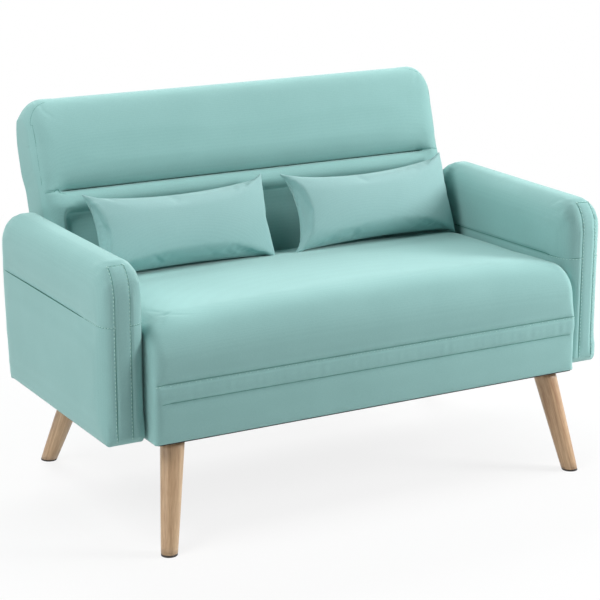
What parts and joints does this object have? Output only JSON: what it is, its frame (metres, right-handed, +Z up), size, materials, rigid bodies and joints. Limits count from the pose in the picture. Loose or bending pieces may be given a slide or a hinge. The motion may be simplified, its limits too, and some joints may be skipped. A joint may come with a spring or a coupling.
{
  "type": "two-seat sofa",
  "caption": "Small upholstered two-seat sofa with slab arms, side pockets, a leaning padded back, loose lumbar pillows and splayed round wooden legs.",
  "frame": {"origin": "on the floor under the middle of the whole sofa", "axes": "+X to the right as seen from the front, +Y from the front to the back, +Z up"},
  "size_m": [1.2006, 0.7226, 0.8107],
  "materials": {
    "mint_fabric": "matt woven upholstery fabric, fine mottled weave",
    "foam": null,
    "fibre": "loose fibre filling",
    "felt": "grey needled felt",
    "black_cloth": "thin black non-woven cloth",
    "leg_wood": "turned light wood, satin lacquer",
    "frame_wood": "sawn softwood and thin board, unfinished",
    "spring_steel": "plain steel",
    "black_plastic": "moulded, matt"
  },
  "bodies": {
    "sofa": {"back_board": "frame_wood", "back_bottom_rail": "frame_wood", "back_bracket_left": "spring_steel", "back_bracket_right": "spring_steel", "back_cover": "mint_fabric", "back_left_post": "frame_wood", "back_lower_foam": "foam", "back_right_post": "frame_wood", "back_roll_foam": "foam", "back_top_rail": "frame_wood", "back_upper_foam": "foam", "front_left_corner_block": "frame_wood", "front_left_glide": "black_plastic", "front_left_hanger_bolt": "spring_steel", "front_left_leg": "leg_wood", "front_right_corner_block": "frame_wood", "front_right_glide": "black_plastic", "front_right_hanger_bolt": "spring_steel", "front_right_leg": "leg_wood", "left_arm_bottom_rail": "frame_wood", "left_arm_cover": "mint_fabric", "left_arm_foam": "foam", "left_arm_front_post": "frame_wood", "left_arm_pocket_panel": "mint_fabric", "left_arm_rear_post": "frame_wood", "left_arm_top_rail": "frame_wood", "rear_left_corner_block": "frame_wood", "rear_left_glide": "black_plastic", "rear_left_hanger_bolt": "spring_steel", "rear_left_leg": "leg_wood", "rear_right_corner_block": "frame_wood", "rear_right_glide": "black_plastic", "rear_right_hanger_bolt": "spring_steel", "rear_right_leg": "leg_wood", "right_arm_bottom_rail": "frame_wood", "right_arm_cover": "mint_fabric", "right_arm_foam": "foam", "right_arm_front_post": "frame_wood", "right_arm_pocket_panel": "mint_fabric", "right_arm_rear_post": "frame_wood", "right_arm_top_rail": "frame_wood", "seat_centre_beam": "frame_wood", "seat_cover": "mint_fabric", "seat_dust_cover": "black_cloth", "seat_foam": "foam", "seat_front_rail": "frame_wood", "seat_left_rail": "frame_wood", "seat_rear_rail": "frame_wood", "seat_right_rail": "frame_wood", "seat_spring_1": "spring_steel", "seat_spring_2": "spring_steel", "seat_spring_3": "spring_steel", "seat_spring_4": "spring_steel", "seat_spring_5": "spring_steel", "spring_insulator_pad": "felt"},
    "left_pillow": {"left_pillow_cover": "mint_fabric", "left_pillow_filling": "fibre"},
    "right_pillow": {"right_pillow_cover": "mint_fabric", "right_pillow_filling": "fibre"}
  },
  "joints": [
    {"name": "left_pillow_lift", "type": "slide", "parent": "sofa", "child": "left_pillow", "axis": [0, -0.5, 0.866], "range_m": [0, 0.3]},
    {"name": "right_pillow_lift", "type": "slide", "parent": "sofa", "child": "right_pillow", "axis": [0, -0.5, 0.866], "range_m": [0, 0.3]}
  ]
}
